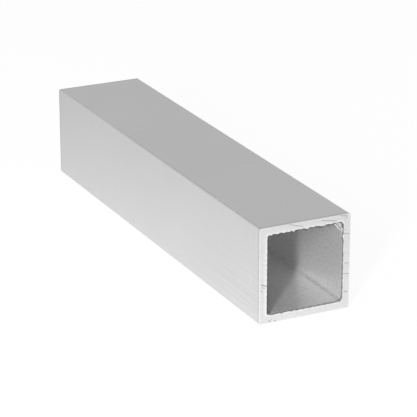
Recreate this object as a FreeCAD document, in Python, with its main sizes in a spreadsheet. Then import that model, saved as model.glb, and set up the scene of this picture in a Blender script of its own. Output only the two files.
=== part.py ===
"""Square metal tube: one straight length of hollow section, open and sawn square at both ends.

X runs across the tube, Y along it and Z up. The origin is at mid-length, in the middle of the underside,
and the sawn end that the photograph shows faces -Y. All sizes are in millimetres.
"""

import FreeCAD, Part
import math
import os

import Sketcher

# Driving dimensions: alias, value and meaning

SIZES = (
    ("section_side", "25", "outside width and height of the section"),
    ("wall", "2", "wall thickness, alike on all four sides"),
    ("outer_radius", "0.6", "corner radius outside"),
    ("inner_radius", "1", "corner radius inside the bore"),
    ("tube_length", "125", "length over the two sawn ends"),
    ("rim_break", "0.12", "edge broken off round the outside of a sawn end"),
)

# How a sketch numbers the two ends of a line or an arc, and its own two axes

START, END = range(1, 3)
HORIZONTAL_AXIS, VERTICAL_AXIS = range(-1, -3, -1)


def make_sheet(doc):
    """Write the driving dimensions one to a row, and give each value its alias."""
    sheet = doc.addObject("Spreadsheet::Sheet", "Sizes")
    for row, (alias, value, meaning) in enumerate(SIZES, start=1):
        sheet.set(f"A{row}", alias)
        sheet.set(f"B{row}", value)
        sheet.set(f"C{row}", meaning)
        sheet.setAlias(f"B{row}", alias)
    doc.recompute()
    return sheet


def origin_plane(body, role):
    """Find one of the body's own base planes by its role."""
    return next(feature for feature in body.Origin.OriginFeatures if feature.Role == role)


def dimension(sketch, name, formula, kind, *geometry):
    """Add a named dimension that the sheet drives."""
    value = sketch.evalExpression(formula)
    index = sketch.addConstraint(Sketcher.Constraint(kind, *geometry, value))
    sketch.renameConstraint(index, name)
    sketch.setExpression(f"Constraints.{name}", formula)


def rounded_square(sketch, half_side, floor_level, radius):
    """Draw a square with rounded corners, upright and centred on the vertical axis.

    Its lines run anticlockwise from the floor, each with the arc of its far corner after it. The form is
    constrained here, while the width, the height, the level and the radius are left to be dimensioned.
    """
    roof_level = floor_level + 2 * half_side
    reach = half_side - radius
    low = floor_level + radius
    high = roof_level - radius
    lines = sketch.addGeometry([
        Part.LineSegment(FreeCAD.Vector(-reach, floor_level), FreeCAD.Vector(reach, floor_level)),
        Part.LineSegment(FreeCAD.Vector(half_side, low), FreeCAD.Vector(half_side, high)),
        Part.LineSegment(FreeCAD.Vector(reach, roof_level), FreeCAD.Vector(-reach, roof_level)),
        Part.LineSegment(FreeCAD.Vector(-half_side, high), FreeCAD.Vector(-half_side, low)),
    ])
    quarter_turn = math.radians(90)
    centres = ((reach, low), (reach, high), (-reach, high), (-reach, low))
    arcs = []
    for corner, (across, up) in enumerate(centres):
        circle = Part.Circle(FreeCAD.Vector(across, up), FreeCAD.Vector(0, 0, 1), radius)
        arc = Part.ArcOfCircle(circle, (corner - 1) * quarter_turn, corner * quarter_turn)
        arcs.append(sketch.addGeometry(arc))
    for corner, arc in enumerate(arcs):
        next_line = lines[(corner + 1) % len(lines)]
        sketch.addConstraint(Sketcher.Constraint("Tangent", lines[corner], END, arc, START))
        sketch.addConstraint(Sketcher.Constraint("Tangent", arc, END, next_line, START))
    for arc in arcs[1:]:
        sketch.addConstraint(Sketcher.Constraint("Equal", arcs[0], arc))
    floor, right, roof, left = lines
    sketch.addConstraint(Sketcher.Constraint("Symmetric", floor, START, floor, END, VERTICAL_AXIS))
    sketch.addConstraint(Sketcher.Constraint("Vertical", right))
    sketch.addConstraint(Sketcher.Constraint("Horizontal", roof))
    sketch.addConstraint(Sketcher.Constraint("Vertical", left))
    return lines, arcs


def draw_section(body, sheet):
    """Draw the hollow section: the outer square stands on the horizontal axis, and one wall parts the two."""
    sketch = body.newObject("Sketcher::SketchObject", "Section")
    sketch.AttachmentSupport = (origin_plane(body, "XZ_Plane"), [""])
    sketch.MapMode = "FlatFace"

    half_side = sheet.section_side / 2
    outer, outer_arcs = rounded_square(sketch, half_side, 0, sheet.outer_radius)
    floor, right, roof, left = outer
    sketch.addConstraint(Sketcher.Constraint("PointOnObject", floor, START, HORIZONTAL_AXIS))
    dimension(sketch, "section_width", "Sizes.section_side", "Distance", right, START, left)
    dimension(sketch, "section_height", "Sizes.section_side", "Distance", floor, START, roof)
    dimension(sketch, "outer_corner", "Sizes.outer_radius", "Radius", outer_arcs[0])

    inner, inner_arcs = rounded_square(sketch, half_side - sheet.wall, sheet.wall, sheet.inner_radius)
    bore_floor, bore_right, bore_roof, bore_left = inner
    dimension(sketch, "floor_wall", "Sizes.wall", "Distance", bore_floor, START, floor)
    dimension(sketch, "side_wall", "Sizes.wall", "Distance", bore_right, START, right)
    dimension(sketch, "roof_wall", "Sizes.wall", "Distance", bore_roof, START, roof)
    dimension(sketch, "inner_corner", "Sizes.inner_radius", "Radius", inner_arcs[0])
    return sketch


def extrude_section(body, section):
    """Draw the section out along the tube, half of the length to each side of the origin."""
    length = body.newObject("PartDesign::Pad", "Length")
    length.Profile = section
    length.SideType = "Symmetric"
    length.setExpression("Length", "Sizes.tube_length")
    section.Visibility = False
    return length


def outer_rim(shape, sheet):
    """Name the edges that run round the outside of the two sawn faces."""
    end = sheet.tube_length / 2
    mid_wall = (sheet.section_side - sheet.wall) / 2
    names = []
    for number, edge in enumerate(shape.Edges, start=1):
        middle = edge.CenterOfMass
        from_axis = max(abs(middle.x), abs(middle.z - sheet.section_side / 2))
        if math.isclose(abs(middle.y), end) and from_axis > mid_wall:
            names.append(f"Edge{number}")
    return names


def break_rims(doc, body, length, sheet):
    """Break the outer edge of each sawn end. The inner rim stays as the saw left it."""
    doc.recompute()
    rim_break = body.newObject("PartDesign::Chamfer", "RimBreak")
    rim_break.Base = (length, outer_rim(length.Shape, sheet))
    rim_break.setExpression("Size", "Sizes.rim_break")
    body.Tip = rim_break
    return rim_break


def make_tube(doc, sheet):
    """Build the tube as one body."""
    body = doc.addObject("PartDesign::Body", "SquareTube")
    body.Label = "square_tube"
    section = draw_section(body, sheet)
    length = extrude_section(body, section)
    break_rims(doc, body, length, sheet)
    body.Placement = FreeCAD.Placement()
    return body


def check(doc, pieces):
    """Stop when a feature failed or a piece is not one sound solid."""
    for item in doc.Objects:
        if "Invalid" in item.State or "Error" in item.State:
            raise RuntimeError(f"{item.Label} failed: {item.State}")
    for piece in pieces:
        if piece.Shape.isNull() or not piece.Shape.isValid():
            raise RuntimeError(f"{piece.Label} has no sound shape")
        if len(piece.Shape.Solids) != 1:
            raise RuntimeError(f"{piece.Label} is not one solid")


def export(pieces):
    """Write each piece to its own file, named after it."""
    os.makedirs("parts", exist_ok=True)
    for piece in pieces:
        piece.Shape.exportStep(f"parts/{piece.Label}.step")
        box = piece.Shape.BoundBox
        print(f"{piece.Label}: {box.XLength:.2f} x {box.YLength:.2f} x {box.ZLength:.2f} mm")


document = FreeCAD.newDocument("square_metal_tube")
sizes = make_sheet(document)
tube = make_tube(document, sizes)
document.recompute()
check(document, [tube])
export([tube])
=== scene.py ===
"""Square metal tube: the mill skin, the two sawn ends with their torn rims, and the streaked bore.

Shapes are worked out in millimetres, with X across the tube, Y along it and Z up, and go into a mesh in
metres. A place on the section is a complex number, x + z i from the tube's axis.
"""

import math

import bpy
import numpy as np
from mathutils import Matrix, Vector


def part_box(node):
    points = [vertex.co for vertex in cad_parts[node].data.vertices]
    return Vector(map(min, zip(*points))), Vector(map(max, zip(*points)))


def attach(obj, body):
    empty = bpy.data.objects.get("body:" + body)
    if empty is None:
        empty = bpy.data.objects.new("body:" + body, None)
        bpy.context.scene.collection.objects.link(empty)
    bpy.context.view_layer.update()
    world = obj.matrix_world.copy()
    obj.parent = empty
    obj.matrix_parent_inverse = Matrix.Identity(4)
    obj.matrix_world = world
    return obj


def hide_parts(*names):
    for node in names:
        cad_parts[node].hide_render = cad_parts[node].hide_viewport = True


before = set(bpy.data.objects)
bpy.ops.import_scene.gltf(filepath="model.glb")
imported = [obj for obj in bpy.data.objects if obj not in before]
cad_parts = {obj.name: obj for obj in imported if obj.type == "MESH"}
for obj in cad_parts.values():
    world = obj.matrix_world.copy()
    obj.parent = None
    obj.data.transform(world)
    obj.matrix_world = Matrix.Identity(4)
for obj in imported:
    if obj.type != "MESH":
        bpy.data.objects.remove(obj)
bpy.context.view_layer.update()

# The tube's sizes, in millimetres

MM = 0.001
TUBE = "square_tube"
LOW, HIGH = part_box(TUBE)
SIDE = (HIGH.x - LOW.x) / MM
LENGTH = (HIGH.y - LOW.y) / MM
HALF_SIDE = SIDE / 2
HALF_LENGTH = LENGTH / 2
WALL = 2.0
HALF_BORE = HALF_SIDE - WALL
OUTER_RADIUS = 0.6
INNER_RADIUS = 1.0
RIM_BREAK = 0.1
BORE_BREAK = 0.42

# How finely the surface is sampled: steps along a side and round a corner, rows across the end face, which
# crowd a little towards its two rims, rows over each rim, and depths of the rows behind the face

RUN_STEPS = 208
TURN_STEPS = 12
FACE_STEPS = 22
FACE_CROWDING = 0.08
RIM_STEPS = 3
MOUTH_STEPS = 6
SKIN_DEPTHS = (40, 20, 10, 5, 2.5, 1.5, 1.0, 0.75, 0.55, 0.4, 0.25)
BORE_DEPTHS = (0.5, 0.6, 0.75, 0.95, 1.2, 1.6, 2.5, 5, 10, 20, 40)

# The sides of the section, in the order that the outline runs round them

FLOOR, RIGHT, ROOF, LEFT = range(4)

# The burr of the saw cut, side by side from the floor on: how far it reaches into the bore, how far the
# painted shade of its shadow comes out on to the face, how dark that painted shade is and how strongly it
# wavers

BURR_REACH = (0.36, 0.16, 0.34, 0.60)
BURR_SHADE = (0.0, 0.0, 0.09, 0.11)
BURR_SHADOW_DARKNESS = (0.66, 0.85, 1.0, 1.0)
BURR_WAVES = (1.0, 0.35, 0.6, 0.35)

# What the burr adds in the bore's corners and how wide, the share of the way through the wall where it
# begins, the depth behind the face over which it dies out, and the same depth and width of a nick

BURR_IN_CORNERS = 0.25
BURR_CORNER_WIDTH = 0.75
BURR_START = 0.62
BURR_DEPTH = 0.8
NICK_DEPTH = 0.3
NICK_WIDTH = 0.15

# How the rims waver: the size of the burr's coarse and fine rags and the most that lip and tones are
# uneven, with the fewest and the most waves of each to a turn round the section

COARSE_RAGS = 0.03
COARSE_WAVES = (30, 75)
FINE_RAGS = 0.012
FINE_WAVES = (90, 240)
MOST_UNEVEN = 1.5
UNEVEN_WAVES = (20, 90)

# The painted light and shade of the rims: the painted highlights on the crests, the line of painted shade
# over the rounding of the bore's rim, the line of painted shade on the skin behind the outer rim, and how
# deep the spots of painted shade reach into the bore

CREST_WIDTH = 0.14
OUTER_CREST = 0.7
CREST_WAVER = 0.6
BRIGHTEST_RIM = 1.3
MOUTH_LINE_EDGE = 0.07
MOUTH_LINE_DEPTH = 0.15
MOUTH_LINE_IN_CORNERS = 0.25
MOUTH_LINE_WAVER = 0.15
SKIN_LINE_DEPTH = 0.35
SKIN_LINE_WIDTH = 0.3
SKIN_LINE_TONE = 0.8
SKIN_LINE_WAVER = 0.2
SHADE_SPOT_DEPTH = 2

# The sawn face: how far its flat lies behind the CAD end and how near its highest points come to that end,
# the thin lip beside the bore, the slow swell across the face and the fine scoring along the blade's arcs

FACE_SINK = 0.08
TIP_GAP = 0.005
LIP_HEIGHT = 0.036
LIP_WAVER = 0.015
LIP_WIDTH = 0.12
SWELL_DEPTH = 0.02
SWELL_ACROSS = 5.0
SWELL_UP = 7.0
SCORING_DEPTH = 0.012
SCORING_WAVES = 20
SCORING_LENGTHS = (0.25, 1.2)
SCORING_DRIFT = 0.6
DRIFT_LENGTHS = (2, 6)
PHASES = (0, 6)

# The blade's teeth leave arcs across the end face, all of one radius. A stroke is one such arc: the height
# at which it crosses the middle of the right-hand wall, the stretch across the tube where it shows, its
# depth and its width.

BLADE_RADIUS = 80.0
BLADE_ACROSS = 21.5
MARKED_WALL = HALF_SIDE - WALL / 2
STROKE_FADE = 0.2
NEAR_STROKES = (
    (19.75, 10.7, 12.4, 0.075, 0.10),
    (14.80, 10.7, 12.4, 0.035, 0.10),
    (12.05, 10.8, 12.4, 0.070, 0.09),
    (9.25, 10.6, 12.5, 0.070, 0.10),
    (4.50, 10.8, 12.3, 0.080, 0.10),
    (4.05, -12.0, -10.4, 0.090, 0.12),
    (3.40, -12.1, -10.6, 0.065, 0.11),
    (9.30, -11.4, -10.4, 0.045, 0.09),
    (0.50, -11.8, -10.4, 0.040, 0.09),
    (21.25, -4.6, -0.6, 0.060, 0.13),
    (23.20, 4.3, 8.9, 0.065, 0.14),
    (24.45, 9.6, 11.8, 0.070, 0.11),
    (-1.60, -9.0, -4.5, 0.030, 0.10),
    (2.10, 7.0, 12.0, 0.028, 0.09),
)

# The strokes of the far cut are drawn at random, each measure between its two bounds

FAR_STROKE_COUNT = 26
FAR_HEIGHTS = (-6, 26)
FAR_STARTS = (-HALF_SIDE, HALF_SIDE - 3)
FAR_LENGTHS = (2, 12)
FAR_DEPTHS = (0.03, 0.08)
FAR_WIDTHS = (0.09, 0.14)

# Small pits in the near end face: across, height, radius and depth

NEAR_PITS = (
    (-9.6, 0.50, 0.20, 0.10),
    (-9.0, 0.75, 0.16, 0.08),
    (-8.1, 0.35, 0.18, 0.12),
    (-11.7, 20.4, 0.22, 0.045),
    (-11.1, 20.1, 0.16, 0.045),
    (-11.9, 19.0, 0.20, 0.05),
    (-11.6, 18.3, 0.15, 0.04),
    (-11.9, 8.8, 0.16, 0.09),
    (-11.5, 8.3, 0.14, 0.07),
    (11.5, 24.0, 0.22, 0.08),
    (11.0, 23.3, 0.16, 0.08),
    (11.1, 20.9, 0.18, 0.08),
    (11.9, 22.6, 0.14, 0.06),
)

# What the saw tore at the near rim of the bore: side, place along it from the axis, reach into the bore,
# and the runs before and after its tip. A negative reach is a bite out of the wall.

NEAR_TEARS = (
    (ROOF, -8.6, 0.26, 1.5, 0.7),
    (ROOF, -7.0, 0.32, 0.9, 0.4),
    (ROOF, -5.45, 0.28, 1.0, 0.4),
    (ROOF, -4.05, 0.33, 1.0, 0.2),
    (ROOF, -3.1, 0.44, 0.5, 0.5),
    (ROOF, 0.37, 0.36, 0.8, 0.8),
    (ROOF, 2.2, 0.05, 0.7, 0.5),
    (ROOF, 4.8, 0.34, 2.0, 0.6),
    (ROOF, 6.6, 0.16, 0.7, 0.7),
    (ROOF, 7.95, 0.14, 0.5, 0.4),
    (LEFT, 8.4, -0.16, 0.35, 0.35),
    (RIGHT, 6.3, 0.26, 0.9, 0.7),
    (RIGHT, 3.0, 0.10, 0.6, 0.8),
    (RIGHT, -4.6, 0.10, 0.7, 0.5),
    (FLOOR, -4.2, 0.12, 0.8, 0.6),
)

# Spots of painted shade on the bore's skin just behind the near rim, in two of its corners: place on the
# section and reach

NEAR_SHADE_SPOTS = (
    (9.9 + 9.9j, 0.6),
    (-9.2 - 10.4j, 0.5),
)

# Nicks in the near outer rim: side, place from the axis, depth and half width

NEAR_NICKS = (
    (LEFT, 6.9, 0.13, 0.25),
    (LEFT, 6.2, 0.10, 0.18),
    (LEFT, 5.3, 0.14, 0.22),
    (LEFT, 4.6, 0.09, 0.15),
    (LEFT, -1.9, 0.08, 0.20),
    (ROOF, -5.2, 0.07, 0.25),
    (ROOF, 9.4, 0.10, 0.35),
    (FLOOR, -8.6, 0.10, 0.30),
)

# The torn ribbons across the upper right corner of the near end: start, end, bow, width and twist. A ribbon
# runs between two shares of the way from start to end, and lies flat at another.

SHAVING_ROWS = 40
SHAVING_COLUMNS = 12
SHAVING_THICKNESS = 0.12
SHAVING_DEPTH = 0.16
SHAVING_SHARES = (0.02, 0.98)
SHAVING_FLAT = 0.3
SHAVING_RAGS = 0.25
SHAVINGS = (
    (7.65 + 10.75j, 10.50 + 7.70j, 0.06, 0.46, 0.6),
    (8.30 + 10.70j, 10.40 + 8.60j, 0.10, 0.24, 0.5),
    (8.85 + 10.70j, 10.00 + 9.35j, 0.06, 0.34, -0.5),
    (9.50 + 10.60j, 10.15 + 9.85j, -0.06, 0.24, 0.5),
    (10.00 + 8.85j, 10.45 + 8.35j, 0.04, 0.40, 0.3),
)

# What each row of random draws starts from

NEAR_SEED = 25
FAR_SEED = 125
SHAVING_SEED = 7

# The finishes, in the order of the tube's materials, and the names of the two marks that they read

SKIN_FINISH, SAWN_FINISH, BORE_FINISH = range(3)
SAW_MARK = "saw_mark"
RIM_LIGHT_SHADE = "rim_light_shade"

# The skin: its tone and level, what clouds, die lines, hair lines and grain add to the level, what the
# rims' painted highlights and painted shade add, then its roughness with the swings of that, and the
# heights of its bump

SKIN_TONE = 0.65
SKIN_METALLIC = 0.60
SKIN_LEVEL = 0.94
SKIN_CLOUD = 0.06
SKIN_LINES = 0.35
LEAST_LINES = 0.04
HAIR_LINES = 0.03
SKIN_GRAIN = 0.08
SKIN_RIM = 0.25
SKIN_ROUGHNESS = 0.40
LINE_ROUGHNESS = 0.10
GRAIN_ROUGHNESS = 0.06
HAIR_HEIGHT = 0.35
GRAIN_HEIGHT = 0.25
MARK_HEIGHT = 1.2
SKIN_RELIEF = 0.012

# The two dark lines of painted shade along each rounded edge: the angle of each round the edge, how far to
# either side of it the line is full and where it ends, in radians, and how dark it is. The upper one fades
# along the tube.

LOWER_LINE_ANGLE = math.radians(25)
LOWER_LINE_SPREAD = (0.12, 0.36)
LOWER_LINE = 0.06
UPPER_LINE_ANGLE = math.radians(58)
UPPER_LINE_SPREAD = (0.2, 0.6)
UPPER_LINE = 0.26
UPPER_LINE_LOSS = 0.20
UPPER_LINE_FADE = (-HALF_LENGTH / 2, 50)

# Sawn metal: the tones of the face and of torn metal, what scoring, mottle and the crests' painted
# highlights add, the tone of the painted shade in deep strokes and pits and at the bore's rim, how far it
# shows and how deep a mark has to be, then roughness and bump

SAWN_TONE = 0.69
TORN_TONE = 0.66
SAWN_METALLIC = 0.55
SAWN_SWING = 0.16
SAWN_CREST = 0.16
SAWN_SHADE_TONE = 0.05
PIT_SHADE_SHARE = 0.85
PIT_DEPTHS = (0.015, 0.09)
SAWN_ROUGHNESS = 0.46
MOTTLE_ROUGHNESS = 0.12
MOTTLE_HEIGHT = 0.6
SAWN_RELIEF = 0.025

# The bore: its tone, what streaks and grain add, and its tone in the line of painted shade behind the rim.
# A corner and the crease in it begin over a band past the end of the flat, and the mouth gives way to the
# deep bore over a band behind it. Creases carry painted shade near a mouth, and corners carry painted shade
# and are rough deep inside.

BORE_TONE = 0.94
BORE_METALLIC = 0.70
BORE_ROUGHNESS = 0.28
BORE_STREAKS = 0.10
BORE_GRAIN = 0.6
BORE_RELIEF = 0.0005
BORE_SHADE_TONE = 0.06
CORNER_BAND = (-0.1, 0.35)
CREASE_BAND = (0.15, 0.4)
DEEP_BAND = (20, 27)
CORNER_SHADE = 0.06
CREASE_SHADE = 0.10
MOUTH_CORNER_ROUGHNESS = 0.05
CORNER_ROUGHNESS = 0.30

# How far patterns are drawn out along the tube, as the share to which Y shrinks for them, and the scoring
# along its arcs in the same way

DIE_DRAW = 0.012
STREAK_DRAW = 0.02
GRAIN_DRAW = 0.3
SCORING_DRAW = 0.12

# Scratches: their two ends, in millimetres across and along the face that carries them, and their width.
# A scratch is worn thin over a share of its length at each end, and full over a share of its width.

SCRATCH_FADE = 0.2
SCRATCH_CORE = 0.3
TOP_SCRATCHES = (
    ((-9.7, 19.3), (-5.2, 19.2), 0.20),
    ((4.1, -19.4), (8.5, -21.6), 0.13),
    ((-12.2, -38.4), (-12.0, -40.0), 0.20),
    ((-12.1, -41.0), (-11.8, -41.7), 0.22),
    ((-12.3, -48.3), (-12.2, -49.2), 0.20),
    ((-12.1, -52.0), (-11.9, -52.8), 0.20),
)
LEFT_SCRATCHES = (
    ((-57.8, 12.2), (-58.1, 9.2), 0.16),
    ((-58.1, 9.3), (-57.5, 8.8), 0.15),
    ((-57.4, 22.4), (-57.8, 19.0), 0.11),
)

# Specks of dust, as places in millimetres on the face that carries them and their radius. A speck is full
# over a share of its area.

SPECK_CORE = 0.1
TOP_SPECKS = (
    (-7.6, -10.8, 0.22),
    (-4.3, -24.4, 0.20),
    (-10.1, -29.4, 0.22),
    (-10.2, -35.2, 0.22),
    (0.3, -42.7, 0.24),
    (10.2, -38.0, 0.20),
    (11.6, -51.0, 0.22),
    (6.0, -56.6, 0.24),
    (8.9, -57.4, 0.20),
    (-4.1, -50.5, 0.24),
    (-5.3, -50.0, 0.18),
    (-6.0, -52.1, 0.20),
    (-0.4, -51.6, 0.24),
    (-8.9, -51.7, 0.18),
)
LEFT_SPECKS = (
    (-37.9, 18.0, 0.30),
    (-41.5, 13.5, 0.28),
    (-19.9, 4.3, 0.26),
    (-32.4, 18.0, 0.18),
    (-51.5, 8.1, 0.18),
)

# Dust all over the skin: cells to the millimetre, the band of a cell's random number that gives it a speck,
# the band of distances over which the speck ends, and its strength. Then the tone of all marks, how far it
# shows, and the bands of height and of place across in which the top's and the left face's marks begin.

DUST_CELLS = 0.45
DUST_CHOICE = (0.70, 0.74)
DUST_EDGE = (0.04, 0.085)
DUST_STRENGTH = 0.5
MARK_TONE = 0.95
MARK_SHARE = 0.6
TOP_BAND = (SIDE - 0.4, SIDE - 0.2)
LEFT_BAND = (0.1 - HALF_SIDE, 0.3 - HALF_SIDE)

# Where a Mix node has its two colours and their mixture

MIX_ONE, MIX_OTHER, MIX_RESULT = 6, 7, 2

# The studio: a wide floor with a painted pool of light, a room that is brighter behind the tube than in
# front of it, a lamp and the camera. Lengths are in millimetres, angles in degrees and the power in watts.

FLOOR_REACH = 3000
FLOOR_GLOW = 0.93
FLOOR_SHADOW = 0.09
FLOOR_TONE = 0.9
FLOOR_FAR = 0.5
POOL_MIDDLE = (0, -60)
POOL_REACH = (80, 220)
ROOM_FRONT = 0.31
ROOM_BACK = 0.55
ROOM_BLEND = 0.5
BACKDROP_TOP = (0.20, 0.50)
KEY_SIZE = (75, 500)
KEY_POWER = 9.5
KEY_AIM = (0, -HALF_LENGTH, HALF_SIDE)
KEY_TURN = 42.8
KEY_LIFT = 18
KEY_DISTANCE = 900
LENS = 190.4
SENSOR_WIDTH = 36
CAMERA_AIM = (2.9, -3.4, 8.0)
CAMERA_TURN = 26.19
CAMERA_LIFT = 20.41
CAMERA_DISTANCE = 589


def smooth_step(value, low, high):
    """0 up to low, 1 from high, and the cubic 3 t^2 - 2 t^3 in between."""
    t = np.clip((value - low) / (high - low), 0, 1)
    return t * t * (3 - 2 * t)


def bell(value, width):
    """The bell curve exp(-(value / width)^2)."""
    return np.exp(-((value / width) ** 2))


def four_sides(run, turn):
    """The floor side's run and its far corner, then both turned by quarters for the other sides."""
    side = np.concatenate([run, turn], axis=-1)
    return np.concatenate([side * 1j**quarter for quarter in range(4)], axis=-1)


def corner_angles():
    """The angles round the floor side's corner, from straight down to straight across."""
    return np.radians(np.linspace(-90, 0, TURN_STEPS, endpoint=False))


def outline(half_side, radius):
    """A rounded square, anticlockwise as seen from the near end.

    The floor side is a straight run at -half_side i, and its corner is a quarter circle of the radius
    about (half_side - radius)(1 - i). half_side and radius may be columns, one row to each outline.
    """
    reach = half_side - radius
    run = reach * np.linspace(-1, 1, RUN_STEPS, endpoint=False) - 1j * half_side
    turn = reach * (1 - 1j) + radius * np.exp(1j * corner_angles())
    return four_sides(run, turn)


def outline_normals():
    """The direction out of the section at each point: down on the floor run and radial in its corner."""
    return four_sides(np.full(RUN_STEPS, -1j), np.exp(1j * corner_angles()))


NORMALS = outline_normals()
COLUMNS = NORMALS.size
SIDE_OF = np.repeat(np.arange(4), RUN_STEPS + TURN_STEPS)


def by_side(values):
    """A value for each side, from the floor on, blended round the corners.

    The blend is weighted by the squares of the normal's two parts.
    """
    floor, right, roof, left = values
    across = NORMALS.real**2 * np.where(NORMALS.real > 0, right, left)
    return across + NORMALS.imag**2 * np.where(NORMALS.imag > 0, roof, floor)


def wander(random, low, high):
    """A smooth random line round the section: a sum of cosines from low to high waves a turn.

    Their sizes are normal and their phases even, and the sum is scaled to a standard deviation of 1.
    """
    waves = np.arange(low, high)
    turns = np.arange(COLUMNS) / COLUMNS
    phases = random.uniform(0, 1, waves.size)
    sizes = random.normal(0, 1, waves.size)
    line = np.cos(2 * math.pi * (np.outer(turns, waves) + phases)) @ sizes
    return line / line.std()


def along_side(place, side):
    """How far a place on the section lies along a side: x on the floor and the roof, z on the walls."""
    return place.real if side in (FLOOR, ROOF) else place.imag


def saw_height(place):
    """The height at which the blade's arc through a place crosses the middle of the right-hand wall.

    The arc is taken as a parabola. It rises from there by (d^2 - m^2) / 2R, with d and m the distances
    across from the blade's axis to the place and to the marked wall, and R the blade's radius.
    """
    from_blade = BLADE_ACROSS - place.real
    marked = BLADE_ACROSS - MARKED_WALL
    return place.imag + HALF_SIDE - (from_blade**2 - marked**2) / (2 * BLADE_RADIUS)


def stroke_depths(place, strokes):
    """Each stroke is a bell curve across its arc, faded in and out smoothly at its two ends."""
    height = saw_height(place)
    depth = np.zeros(place.shape)
    for level, start, end, deepest, width in strokes:
        shown = smooth_step(place.real, start, start + STROKE_FADE)
        shown = shown * (1 - smooth_step(place.real, end - STROKE_FADE, end))
        depth = np.maximum(depth, deepest * shown * bell(height - level, width))
    return depth


def pit_depths(place, pits):
    """Each pit is a round bell curve about its place."""
    depth = np.zeros(place.shape)
    for across, height, radius, deepest in pits:
        from_pit = np.abs(place - across - 1j * (height - HALF_SIDE))
        depth = np.maximum(depth, deepest * bell(from_pit, radius))
    return depth


def scoring(place, random):
    """Fine lines that follow the blade's arcs: the mean of sine waves of the saw height.

    Their lengths grow by one ratio from the shortest to the longest, and each wave drifts up and down
    across the tube as a longer sine wave.
    """
    height = saw_height(place)
    depth = np.zeros(place.shape)
    for length in np.geomspace(*SCORING_LENGTHS, SCORING_WAVES):
        drift = np.sin(place.real / random.uniform(*DRIFT_LENGTHS) + random.uniform(*PHASES))
        turns = height / length + SCORING_DRIFT * drift
        wave = np.sin(2 * math.pi * turns + random.uniform(*PHASES))
        depth += wave / SCORING_WAVES
    return depth


def tears(rim, marks):
    """How far the rim of the bore reaches in: straight flanks up to each tip, the largest winning."""
    reach = np.zeros(rim.shape)
    for side, place, tip, before, after in marks:
        along = along_side(rim, side)
        flanks = np.interp(along, [place - before, place, place + after], [0, tip, 0])
        flanks = np.where(SIDE_OF == side, flanks, 0)
        reach = np.where(np.abs(flanks) > np.abs(reach), flanks, reach)
    return reach


def nicks(rim, marks):
    """How deep the outer rim is nicked: a bell curve along the side for each nick."""
    depth = np.zeros(rim.shape)
    for side, place, deepest, width in marks:
        shown = np.where(SIDE_OF == side, bell(along_side(rim, side) - place, width), 0)
        depth = np.maximum(depth, deepest * shown)
    return depth


def far_strokes(random):
    """Strokes of the far cut: random heights, each across one stretch of the face."""
    height = random.uniform(*FAR_HEIGHTS, FAR_STROKE_COUNT)
    start = random.uniform(*FAR_STARTS, FAR_STROKE_COUNT)
    end = start + random.uniform(*FAR_LENGTHS, FAR_STROKE_COUNT)
    depth = random.uniform(*FAR_DEPTHS, FAR_STROKE_COUNT)
    width = random.uniform(*FAR_WIDTHS, FAR_STROKE_COUNT)
    return np.column_stack([height, start, end, depth, width])


def end_rows():
    """The rows of the grid from mid-length on the skin, over one end, to mid-length in the bore.

    Each row has a share of the way through the wall, the inset of the outer rim, its depth behind the end
    face and its weight as part of that face. Both rims are quarter circles, of RIM_BREAK outside and
    BORE_BREAK inside. The shares across the face are even, less a small sine wave.
    """
    middle = HALF_LENGTH - FACE_SINK
    skin = np.array([middle, *SKIN_DEPTHS])
    rim = np.radians(np.linspace(0, 90, RIM_STEPS, endpoint=False))
    even = np.linspace(0, 1, FACE_STEPS)
    face = (even - FACE_CROWDING * np.sin(2 * math.pi * even)) * (1 - BORE_BREAK / WALL)
    mouth = np.radians(np.linspace(90, 0, MOUTH_STEPS, endpoint=False))[::-1]
    rounded = BORE_BREAK / WALL * (1 - np.sin(mouth))
    bore = np.array([*BORE_DEPTHS, middle])
    bands = (
        (0 * skin, 0 * skin, skin, 0 * skin),
        (0 * rim, RIM_BREAK * (1 - np.cos(rim)), RIM_BREAK * (1 - np.sin(rim)), np.sin(rim)),
        (face, 0 * face + RIM_BREAK, 0 * face, 0 * face + 1),
        (1 - rounded, 0 * mouth, BORE_BREAK * (1 - np.cos(mouth)), np.cos(mouth)),
        (0 * bore + 1, 0 * bore, bore, 0 * bore),
    )
    return (np.concatenate(column)[:, None] for column in zip(*bands))


def bore_corners(rim):
    """1 in the middle of each corner of the bore, falling off as a bell curve of the distance from it."""
    folded = np.abs(rim.real) + 1j * np.abs(rim.imag)
    middle = (HALF_BORE - INNER_RADIUS * (1 - math.sqrt(0.5))) * (1 + 1j)
    return bell(np.abs(folded - middle), BURR_CORNER_WIDTH)


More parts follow.
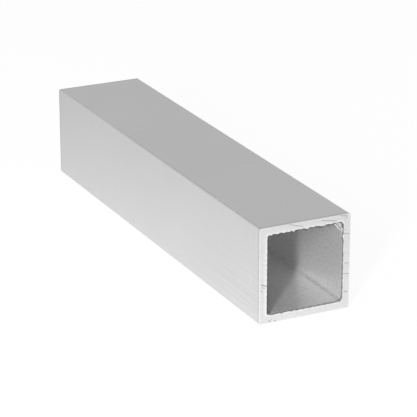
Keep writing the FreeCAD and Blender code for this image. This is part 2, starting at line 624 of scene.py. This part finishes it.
def painted_rim_light_shade(place, through, depth, weight, corner, uneven, shade_spots):
    """The painted light and shade of the two rims: 1 in painted highlights on their crests, falling off as
    bell curves, and -1 in painted shade.

    It is painted shade in a line from the crest of the bore's rim over its rounding, which goes deeper in
    the corners, in a line on the skin just behind the face, and in the spots of painted shade, which are
    bell curves about their places on the bore's skin.
    """
    from_crest = (1 - through) * WALL - BORE_BREAK - by_side(BURR_SHADE)
    # Painted highlights on the crests of both rims
    crests = bell(from_crest, CREST_WIDTH) + OUTER_CREST * bell(through * WALL, CREST_WIDTH)
    # A line of painted shade over the rounding of the bore's rim, deeper in the corners
    line_depth = MOUTH_LINE_DEPTH + MOUTH_LINE_IN_CORNERS * corner
    in_mouth = smooth_step(-from_crest, 0, MOUTH_LINE_EDGE)
    in_mouth = in_mouth * (1 - smooth_step(depth, line_depth, 2 * line_depth))
    # A line of painted shade on the skin just behind the face
    on_skin = (through == 0) * bell(depth - SKIN_LINE_DEPTH, SKIN_LINE_WIDTH)
    tone = weight * crests * (1 - in_mouth) * (1 + CREST_WAVER * uneven)
    tone = tone - in_mouth * by_side(BURR_SHADOW_DARKNESS) * (1 - MOUTH_LINE_WAVER * uneven)
    tone = tone - on_skin * (SKIN_LINE_TONE + SKIN_LINE_WAVER * uneven)
    # Spots of painted shade in two corners of the bore's mouth
    for shade_spot, reach in shade_spots:
        tone = tone - (through == 1) * bell(np.abs(place - shade_spot), reach) * bell(depth, SHADE_SPOT_DEPTH)
    return np.clip(tone, -1, BRIGHTEST_RIM)


def tube_end(random, strokes, pits, tear_marks, nick_marks, shade_spots):
    """Half of the tube, from mid-length out over one sawn end and back in: places, depths and two marks.

    A place is the outer outline blended to the bore's outline by the share through the wall. The rim of
    the bore is then drawn in along its normals by the burr, which reaches further in the corners, and by
    the tears, and the outer rim by the nicks. The face is lowered by the strokes, pits and scoring, swells
    by a product of two sine waves, and is raised beside the bore in a thin lip. The first mark is the
    depth of the strokes and pits, and the second is the rims' painted highlights and painted shade.
    """
    through, inset, depth, weight = end_rows()
    outer = outline(HALF_SIDE - inset, OUTER_RADIUS - inset)
    inner = outline(HALF_BORE, INNER_RADIUS)
    place = outer * (1 - through) + inner * through

    waves = by_side(BURR_WAVES)
    ragged = COARSE_RAGS * wander(random, *COARSE_WAVES) + FINE_RAGS * wander(random, *FINE_WAVES)
    corner = bore_corners(inner)
    burr = by_side(BURR_REACH) + BURR_IN_CORNERS * corner
    torn = burr + tears(inner, tear_marks) + waves * ragged
    in_bore = bell(depth, BURR_DEPTH) * smooth_step(through, BURR_START, 1 - BORE_BREAK / WALL)
    on_rim = bell(depth, NICK_DEPTH) * bell(through * WALL, NICK_WIDTH)
    place = place - NORMALS * (torn * in_bore + nicks(outer[0], nick_marks) * on_rim)

    marks = stroke_depths(place, strokes) + pit_depths(place, pits)
    swell = SWELL_DEPTH * np.sin(place.real / SWELL_ACROSS + 1) * np.sin(place.imag / SWELL_UP)
    rough = SCORING_DEPTH * scoring(place, random) + swell
    uneven = waves * np.clip(wander(random, *UNEVEN_WAVES), -MOST_UNEVEN, MOST_UNEVEN)
    lip = (LIP_HEIGHT + LIP_WAVER * uneven) * bell((1 - through) * WALL - BORE_BREAK, LIP_WIDTH)
    # The rims' painted highlights and painted shade
    rim_light_shade = painted_rim_light_shade(place, through, depth, weight, corner, uneven, shade_spots)
    depth = np.maximum(depth + weight * (marks + rough - lip), TIP_GAP - FACE_SINK)
    return place, depth, marks * weight, rim_light_shade


def tube_grid():
    """Both ends joined at mid-length into one ring of rows.

    It is closed both round the section and through the bore, so the mesh has no open edge.
    """
    near_random = np.random.default_rng(NEAR_SEED)
    far_random = np.random.default_rng(FAR_SEED)
    near = tube_end(near_random, NEAR_STROKES, NEAR_PITS, NEAR_TEARS, NEAR_NICKS, NEAR_SHADE_SPOTS)
    far = tube_end(far_random, far_strokes(far_random), (), (), (), ())
    near_place, near_depth, *near_marks = near
    far_place, far_depth, *far_marks = (part[-2:0:-1] for part in far)
    place = np.concatenate([near_place, far_place])
    along = np.concatenate([near_depth - HALF_LENGTH + FACE_SINK, HALF_LENGTH - FACE_SINK - far_depth])
    marks = [np.concatenate(pair) for pair in zip(near_marks, far_marks)]
    points = np.stack([place.real, along, place.imag + HALF_SIDE], axis=-1)
    return points * MM, marks


def tube_bands():
    """The finish of each band of faces between two rows: the near end's, then the far end's backwards."""
    skin = [SKIN_FINISH] * (1 + len(SKIN_DEPTHS))
    sawn = [SAWN_FINISH] * (RIM_STEPS + FACE_STEPS)
    bore = [BORE_FINISH] * (MOUTH_STEPS + len(BORE_DEPTHS) + 1)
    near = np.array(skin + sawn + bore)
    return np.concatenate([near, near[-3::-1]])


def ring_faces(rows, columns):
    """The quads of a grid that closes on itself both ways."""
    row, column = np.meshgrid(np.arange(rows), np.arange(columns), indexing="ij")
    next_row = (row + 1) % rows
    next_column = (column + 1) % columns
    corners = (
        row * columns + column,
        row * columns + next_column,
        next_row * columns + next_column,
        next_row * columns + column,
    )
    return np.stack(corners, axis=-1).reshape(-1, 4)


def spindle_faces(rows, columns):
    """The faces of a grid that closes round its columns and ends in a point before and after its rows."""
    quads = ring_faces(rows, columns)[:-columns]
    column = np.arange(columns)
    next_column = (column + 1) % columns
    last = (rows - 1) * columns
    first_pole = np.full(columns, rows * columns)
    last_pole = first_pole + 1
    first_fan = np.stack([first_pole, next_column, column], axis=-1)
    last_fan = np.stack([last_pole, last + column, last + next_column], axis=-1)
    return quads.tolist() + first_fan.tolist() + last_fan.tolist()


def put(name, data):
    """Put data into a new object at the scene's origin."""
    thing = bpy.data.objects.new(name, data)
    bpy.context.scene.collection.objects.link(thing)
    return thing


def put_mesh(name, points, faces, finishes):
    """Put points in metres and faces into a mesh with the finishes, and that into the scene."""
    mesh = bpy.data.meshes.new(name)
    mesh.from_pydata(points, [], faces)
    for finish in finishes:
        mesh.materials.append(finish)
    return put(name, mesh)


def make_piece(name, points, faces, finishes):
    """A smooth piece that rides with the tube."""
    piece = put_mesh(name, points, faces, finishes)
    piece.data.shade_smooth()
    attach(piece, "root")
    return piece


def make_tube(finishes):
    """The tube, as one closed ring of quads, with its two marks kept as attributes for the finishes."""
    points, marks = tube_grid()
    rows, columns = marks[0].shape
    faces = ring_faces(rows, columns).tolist()
    tube = make_piece("tube_surface", points.reshape(-1, 3), faces, finishes)
    bands = np.repeat(tube_bands(), columns).astype(np.int32)
    tube.data.polygons.foreach_set("material_index", bands)
    for name, values in zip((SAW_MARK, RIM_LIGHT_SHADE), marks):
        attribute = tube.data.attributes.new(name, "FLOAT", "POINT")
        attribute.data.foreach_set("value", values.ravel().astype(np.float32))
    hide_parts(TUBE)


def shaving_grid(start, end, bow, width, twist, random):
    """A ragged ribbon between two places at the rim of the bore.

    Its middle line is straight but for a bow of half a sine wave. Across the line it is a flat ellipse, as
    wide as the fourth root of a half sine wave makes it, with a little random raggedness. It is turned by
    the twist times the share of the way past the place where it lies flat.
    """
    share = np.linspace(*SHAVING_SHARES, SHAVING_ROWS)[:, None]
    turn = np.linspace(0, 2 * math.pi, SHAVING_COLUMNS, endpoint=False)
    direction = (end - start) / abs(end - start)
    middle = start + (end - start) * share + bow * np.sin(math.pi * share) * direction * 1j
    ragged = 1 + SHAVING_RAGS * random.uniform(-1, 1, share.shape)
    half_width = width / 2 * np.sin(math.pi * share) ** 0.25 * ragged
    lean = twist * (share - SHAVING_FLAT)
    flat = half_width * np.cos(turn)
    thick = SHAVING_THICKNESS / 2 * np.sin(turn)
    place = middle + direction * 1j * (flat * np.cos(lean) - thick * np.sin(lean))
    depth = SHAVING_DEPTH + flat * np.sin(lean) + thick * np.cos(lean)
    points = np.stack([place.real, depth - HALF_LENGTH, place.imag + HALF_SIDE], axis=-1)
    poles = points.mean(axis=1)[[0, -1]]
    return np.concatenate([points.reshape(-1, 3), poles]) * MM


def make_shavings(finish):
    """The torn web across the upper right corner of the bore, as separate ribbons rooted in its rim."""
    random = np.random.default_rng(SHAVING_SEED)
    faces = spindle_faces(SHAVING_ROWS, SHAVING_COLUMNS)
    for number, (start, end, bow, width, twist) in enumerate(SHAVINGS, start=1):
        points = shaving_grid(start, end, bow, width, twist, random)
        make_piece(f"corner_shaving_{number}", points, faces, [finish])


class Value:
    """A shader output that works in sums as a number does: each operator adds its Math node."""

    def __init__(self, paint, socket):
        self.paint = paint
        self.socket = socket

    def __abs__(self):
        return self.paint.maths("ABSOLUTE", self)

    def __add__(self, other):
        return self.paint.maths("ADD", self, other)

    def __sub__(self, other):
        return self.paint.maths("SUBTRACT", self, other)

    def __rsub__(self, other):
        return self.paint.maths("SUBTRACT", other, self)

    def __mul__(self, other):
        return self.paint.maths("MULTIPLY", self, other)

    def __truediv__(self, other):
        return self.paint.maths("DIVIDE", self, other)

    __radd__ = __add__
    __rmul__ = __mul__

    def twin(self, output):
        """Another output of the same node."""
        return Value(self.paint, self.socket.node.outputs[output])


class Paint:
    """The node tree of a material or of the world, with one method that adds any node."""

    def __init__(self, owner):
        owner.use_nodes = True
        self.owner = owner
        self.tree = owner.node_tree
        self.tree.nodes.clear()

    def add(self, kind, settings=None, inputs=None, output=0):
        """Add a node: its settings first, then the values or links of its inputs.

        Returns one of its outputs, if it has any.
        """
        node = self.tree.nodes.new("ShaderNode" + kind)
        for name, setting in (settings or {}).items():
            setattr(node, name, setting)
        for name, value in (inputs or {}).items():
            if isinstance(value, Value):
                self.tree.links.new(value.socket, node.inputs[name])
            else:
                node.inputs[name].default_value = value
        return Value(self, node.outputs[output]) if node.outputs else None

    def maths(self, operation, *terms):
        return self.add("Math", {"operation": operation}, dict(enumerate(terms)))

    def larger(self, one, other):
        return self.maths("MAXIMUM", one, other)

    def millimetres(self):
        """The place on the piece, in millimetres."""
        place = self.add("TexCoord", output="Object")
        return self.add("VectorMath", {"operation": "SCALE"}, {0: place, "Scale": 1 / MM})

    def drawn(self, place, share):
        """The place with Y shrunk to a share, so that a pattern on it is drawn out along the tube."""
        return self.add("VectorMath", {"operation": "MULTIPLY"}, {0: place, 1: (1, share, 1)})

    def parts(self, vector):
        """The x, y and z of a vector."""
        split = self.add("SeparateXYZ", inputs={0: vector})
        return [split.twin(axis) for axis in "XYZ"]

    def mark(self, name):
        """One of the marks that the mesh keeps at its points."""
        return self.add("Attribute", {"attribute_name": name}, output="Fac")

    def noise(self, vector, scale, detail=2, roughness=0.5):
        """Soft noise from 0 to 1, with about scale waves to the millimetre."""
        return self.add("TexNoise", inputs={
            "Vector": vector, "Scale": scale, "Detail": detail, "Roughness": roughness,
        })

    def smooth(self, value, low, high):
        """0 at low, 1 at high, and smooth in between."""
        return self.add("MapRange", {"interpolation_type": "SMOOTHSTEP"}, {
            "Value": value, "From Min": low, "From Max": high,
        })

    def mixed(self, share, one, other):
        """A colour between two greys."""
        greys = {0: share, MIX_ONE: grey(one), MIX_OTHER: grey(other)}
        return self.add("Mix", {"data_type": "RGBA"}, greys, output=MIX_RESULT)

    def shade(self, colour, factor):
        """The colour times a factor."""
        return self.add("VectorMath", {"operation": "SCALE"}, {0: colour, "Scale": factor})

    def metal(self, colour, metallic, roughness, height, relief):
        """The finished metal.

        height is the bump's, and relief how many millimetres a height of 1 stands for.
        """
        bumped = self.add("Bump", inputs={"Height": height, "Distance": relief * MM, "Strength": 1.0})
        surface = self.add("BsdfPrincipled", inputs={
            "Base Color": colour, "Metallic": metallic, "Roughness": roughness, "Normal": bumped,
        })
        self.add("OutputMaterial", inputs={"Surface": surface})
        return self.owner


def grey(tone):
    """The tone as a colour, or the tone itself where nodes work it out."""
    return tone if isinstance(tone, Value) else (tone, tone, tone, 1.0)


def swing(noise, size):
    """Noise about its middle, which is a half, times a size."""
    return size * (noise - 0.5)


def dust(paint, place):
    """Dust and pin-prick dents: spots about a quarter of a millimetre across, in some of the cells."""
    cells = paint.add("TexVoronoi", {"feature": "F1"}, {"Vector": place, "Scale": DUST_CELLS})
    chosen = paint.smooth(paint.parts(cells.twin("Color"))[0], *DUST_CHOICE)
    return chosen * (1 - paint.smooth(cells, *DUST_EDGE))


def speck(paint, across, along, middle, radius):
    """One round speck on a face with the coordinates across and along."""
    aside = across - middle[0]
    beyond = along - middle[1]
    return 1 - paint.smooth(aside * aside + beyond * beyond, SPECK_CORE * radius**2, radius**2)


def scratch(paint, across, along, start, end, width):
    """A scratch from start to end on a face with the coordinates across and along.

    A place is split into how far it lies along the scratch, from its start, and how far aside of it.
    """
    run = (end[0] - start[0], end[1] - start[1])
    length = math.hypot(*run)
    unit = (run[0] / length, run[1] / length)
    from_start = (across - start[0]) * unit[0] + (along - start[1]) * unit[1]
    aside = abs((across - start[0]) * unit[1] - (along - start[1]) * unit[0])
    fade = SCRATCH_FADE * length
    shown = paint.smooth(from_start, 0, fade) * (1 - paint.smooth(from_start, length - fade, length))
    return shown * (1 - paint.smooth(aside, SCRATCH_CORE * width, width))


def edge_shade_lines(paint, x, z):
    """The two fine dark lines of painted shade along each rounded edge.

    Each is a band of the angle at which a place lies round the edge's own axis, from 0 at the side face
    to 90 degrees at the top or bottom face.
    """
    middle = HALF_SIDE - OUTER_RADIUS
    aside = abs(x) - middle
    above = abs(z - HALF_SIDE) - middle
    angle = paint.maths("ARCTAN2", above, aside)
    lower = 1 - paint.smooth(abs(angle - LOWER_LINE_ANGLE), *LOWER_LINE_SPREAD)
    upper = 1 - paint.smooth(abs(angle - UPPER_LINE_ANGLE), *UPPER_LINE_SPREAD)
    return lower, upper


def skin_marks(paint, place):
    """The specks and scratches on the skin, the strongest one winning at each place."""
    x, y, z = paint.parts(place)
    on_top = paint.smooth(z, *TOP_BAND)
    on_left = 1 - paint.smooth(x, *LEFT_BAND)
    marks = DUST_STRENGTH * dust(paint, place)
    for start, end, width in TOP_SCRATCHES:
        marks = paint.larger(marks, on_top * scratch(paint, x, y, start, end, width))
    for start, end, width in LEFT_SCRATCHES:
        marks = paint.larger(marks, on_left * scratch(paint, y, z, start, end, width))
    for *middle, radius in TOP_SPECKS:
        marks = paint.larger(marks, on_top * speck(paint, x, y, middle, radius))
    for *middle, radius in LEFT_SPECKS:
        marks = paint.larger(marks, on_left * speck(paint, y, z, middle, radius))
    return marks


def skin_finish():
    """The mill skin: matt grey, drawn along Y by the die, with a few specks and scratches.

    The die lines are strongest low down at the near end, and the painted shade of the edge lines is broken
    up by noise.
    """
    paint = Paint(bpy.data.materials.new("mill_skin"))
    place = paint.millimetres()
    x, y, z = paint.parts(place)
    drawn = paint.drawn(place, DIE_DRAW)
    die_lines = paint.noise(drawn, scale=2.2, detail=5, roughness=0.7)
    hair_lines = paint.noise(drawn, scale=9.0, detail=3, roughness=0.6)
    cloud = paint.noise(place, scale=0.05)
    grain = paint.noise(place, scale=3.0, detail=3, roughness=0.7)
    marks = skin_marks(paint, place)
    near_end = 1 - paint.smooth(y, -HALF_LENGTH, 0)
    lined = LEAST_LINES + SKIN_LINES * near_end * (1 - paint.smooth(z, 0, SIDE))
    tone = SKIN_LEVEL + SKIN_CLOUD * cloud + swing(die_lines, lined)
    tone = tone + swing(hair_lines, HAIR_LINES) + swing(grain, SKIN_GRAIN)
    # Two lines of painted shade along each rounded edge, broken up by noise
    lower_line, upper_line = edge_shade_lines(paint, x, z)
    edge_shade_breakup = paint.noise(paint.drawn(place, GRAIN_DRAW), scale=1.2, detail=3, roughness=0.7)
    upper_shade = UPPER_LINE - UPPER_LINE_LOSS * paint.smooth(y, *UPPER_LINE_FADE)
    lines = upper_shade * upper_line + LOWER_LINE * near_end * lower_line
    # The edge lines' painted shade and the rims' painted highlights and painted shade go into the tone
    tone = tone * (1 - edge_shade_breakup * lines + SKIN_RIM * paint.mark(RIM_LIGHT_SHADE))
    colour = paint.shade(paint.mixed(MARK_SHARE * marks, SKIN_TONE, MARK_TONE), tone)
    roughness = SKIN_ROUGHNESS + swing(die_lines, LINE_ROUGHNESS) + swing(grain, GRAIN_ROUGHNESS)
    height = die_lines + HAIR_HEIGHT * hair_lines + GRAIN_HEIGHT * grain + MARK_HEIGHT * marks
    return paint.metal(colour, SKIN_METALLIC, roughness, height, SKIN_RELIEF)


def sawn_finish(name, bare_tone):
    """Cut metal: brighter than the skin, scored along the blade's arcs, with painted shade in deep strokes
    and pits.

    The scoring is noise on the height of the arc through a place, z - d^2 / 2R, with d the distance across
    from the blade's axis and R its radius.
    """
    paint = Paint(bpy.data.materials.new(name))
    place = paint.millimetres()
    x, y, z = paint.parts(place)
    from_blade = BLADE_ACROSS - x
    height = z - from_blade * from_blade / (2 * BLADE_RADIUS)
    arcs = paint.add("CombineXYZ", inputs={"X": x * SCORING_DRAW, "Y": y * SCORING_DRAW, "Z": height})
    scored = paint.noise(arcs, scale=5.0, detail=4, roughness=0.65)
    mottle = paint.noise(place, scale=1.6, detail=4, roughness=0.65)
    rim_light_shade = paint.mark(RIM_LIGHT_SHADE)
    # Painted shade in deep strokes and pits, and at the bore's rim
    in_pits = PIT_SHADE_SHARE * paint.smooth(paint.mark(SAW_MARK), *PIT_DEPTHS)
    dark = paint.larger(in_pits, 0 - rim_light_shade)
    tone = 1.0 + swing(scored, SAWN_SWING) + swing(mottle, SAWN_SWING)
    # Painted highlights on the crests
    tone = tone + SAWN_CREST * paint.larger(rim_light_shade, 0)
    colour = paint.shade(paint.mixed(dark, bare_tone, SAWN_SHADE_TONE), tone)
    roughness = SAWN_ROUGHNESS + swing(mottle, MOTTLE_ROUGHNESS)
    return paint.metal(colour, SAWN_METALLIC, roughness, scored + MOTTLE_HEIGHT * mottle, SAWN_RELIEF)


def bore_finish():
    """The inside skin: bright metal drawn into fine lines along the bore, with painted shade just behind
    the sawn rim.

    |x| + |z| from the axis tells how far a place has left the flats for a corner. Corners have a crease of
    painted shade near the mouths, and are rough and carry a little painted shade deep inside.
    """
    paint = Paint(bpy.data.materials.new("bore_skin"))
    place = paint.millimetres()
    x, y, z = paint.parts(place)
    streaks = paint.noise(paint.drawn(place, STREAK_DRAW), scale=2.2, detail=1)
    grain = paint.noise(paint.drawn(place, GRAIN_DRAW), scale=2.2, detail=3, roughness=0.8)
    past_flat = abs(x) + abs(z - HALF_SIDE) - (2 * HALF_BORE - INNER_RADIUS)
    in_corner = paint.smooth(past_flat, *CORNER_BAND)
    in_crease = paint.smooth(past_flat, *CREASE_BAND)
    deep = paint.smooth(HALF_LENGTH - abs(y), *DEEP_BAND)
    # Painted shade in the creases near a mouth and in the corners deep inside
    painted_corner_shade = in_corner * (CORNER_SHADE * deep) + in_crease * (CREASE_SHADE * (1 - deep))
    tone = 1.0 + swing(streaks, BORE_STREAKS) + swing(grain, BORE_GRAIN) - painted_corner_shade
    # Painted shade in the line behind the rim and in the spots
    dark = paint.larger(0 - paint.mark(RIM_LIGHT_SHADE), 0)
    colour = paint.shade(paint.mixed(dark, BORE_TONE, BORE_SHADE_TONE), tone)
    roughness = BORE_ROUGHNESS + in_corner * (MOUTH_CORNER_ROUGHNESS + CORNER_ROUGHNESS * deep)
    return paint.metal(colour, BORE_METALLIC, roughness, grain, BORE_RELIEF)


def make_floor():
    """A wide pale floor: white to the eye and in reflections, with the tube's soft shadow.

    What it sends back to the metal fades away from a pool of painted light round the near end, as a bell
    curve.
    """
    paint = Paint(bpy.data.materials.new("studio_floor"))
    x, y = paint.parts(paint.millimetres())[:2]
    # A painted pool of light: the floor's colour for bounced and reflected light is brightest round the
    # near end
    across = (x - POOL_MIDDLE[0]) / POOL_REACH[0]
    along = (y - POOL_MIDDLE[1]) / POOL_REACH[1]
    painted_pool = paint.maths("EXPONENT", 0 - across * across - along * along)
    level = FLOOR_FAR + (1 - FLOOR_FAR) * painted_pool
    rays = paint.add("LightPath")
    glossy = rays.twin("Is Glossy Ray")
    seen = paint.larger(rays.twin("Is Camera Ray"), glossy)
    seen = paint.larger(seen, rays.twin("Is Transmission Ray"))
    lit = paint.add("BsdfDiffuse", inputs={"Color": level * FLOOR_TONE})
    dim = paint.add("BsdfDiffuse", inputs={"Color": grey(FLOOR_SHADOW)})
    shown = paint.mixed(glossy, FLOOR_GLOW, level)
    glow = paint.add("Emission", inputs={"Color": shown, "Strength": 1.0})
    white = paint.add("AddShader", inputs={0: dim, 1: glow})
    surface = paint.add("MixShader", inputs={"Fac": seen, 1: lit, 2: white})
    paint.add("OutputMaterial", inputs={"Surface": surface})
    reach = FLOOR_REACH * MM
    corners = [(-reach, -reach, 0), (reach, -reach, 0), (reach, reach, 0), (-reach, reach, 0)]
    floor = put_mesh("studio_floor", corners, [(0, 1, 2, 3)], [paint.owner])


def make_world():
    """Plain room light, brighter from behind the tube than from in front of it, and a white background.

    The eye sees the background all round. The metal reflects it only where it is behind the tube, up to
    the height of a studio backdrop.
    """
    world = bpy.data.worlds.new("studio")
    bpy.context.scene.world = world
    paint = Paint(world)
    y, z = paint.parts(paint.add("TexCoord", output="Generated"))[1:]
    behind = paint.smooth(y, -ROOM_BLEND, ROOM_BLEND)
    room = ROOM_FRONT + (ROOM_BACK - ROOM_FRONT) * behind
    backdrop = behind * (1 - paint.smooth(z, *BACKDROP_TOP))
    rays = paint.add("LightPath")
    reflected = paint.larger(rays.twin("Is Glossy Ray"), rays.twin("Is Transmission Ray"))
    white = paint.larger(rays.twin("Is Camera Ray"), reflected * backdrop)
    light = paint.add("Background", inputs={"Color": grey(1.0), "Strength": paint.larger(room, white)})
    paint.add("OutputWorld", inputs={"Surface": light})


def point_at(aim, turn, lift, distance, thing):
    """Stand a lamp or the camera away from its aim and point it there.

    It is turned from -Y towards -X and lifted from the floor, in degrees: the way out to it is
    (-sin turn cos lift, -cos turn cos lift, sin lift).
    """
    turn, lift = math.radians(turn), math.radians(lift)
    level = math.cos(lift)
    away = np.array([-math.sin(turn) * level, -math.cos(turn) * level, math.sin(lift)])
    thing.location = (np.array(aim) + away * distance) * MM
    thing.rotation_euler = (math.pi / 2 - lift, 0, -turn)


def make_key_lamp():
    """A narrow upright soft box in front of the near end, on its left."""
    data = bpy.data.lights.new("key_strip", "AREA")
    data.shape = "RECTANGLE"
    data.size, data.size_y = (side * MM for side in KEY_SIZE)
    data.energy = KEY_POWER
    point_at(KEY_AIM, KEY_TURN, KEY_LIFT, KEY_DISTANCE, put("key_strip", data))


def make_camera():
    """The photograph's view: a long lens that looks down on the tube from the front left."""
    data = bpy.data.cameras.new("camera")
    data.lens = LENS
    data.sensor_width = SENSOR_WIDTH
    camera = put("camera", data)
    point_at(CAMERA_AIM, CAMERA_TURN, CAMERA_LIFT, CAMERA_DISTANCE, camera)
    bpy.context.scene.camera = camera


bpy.context.scene.view_settings.view_transform = "Standard"
make_camera()
make_world()
make_floor()
make_key_lamp()
make_tube([skin_finish(), sawn_finish("sawn_face", SAWN_TONE), bore_finish()])
make_shavings(sawn_finish("torn_metal", TORN_TONE))
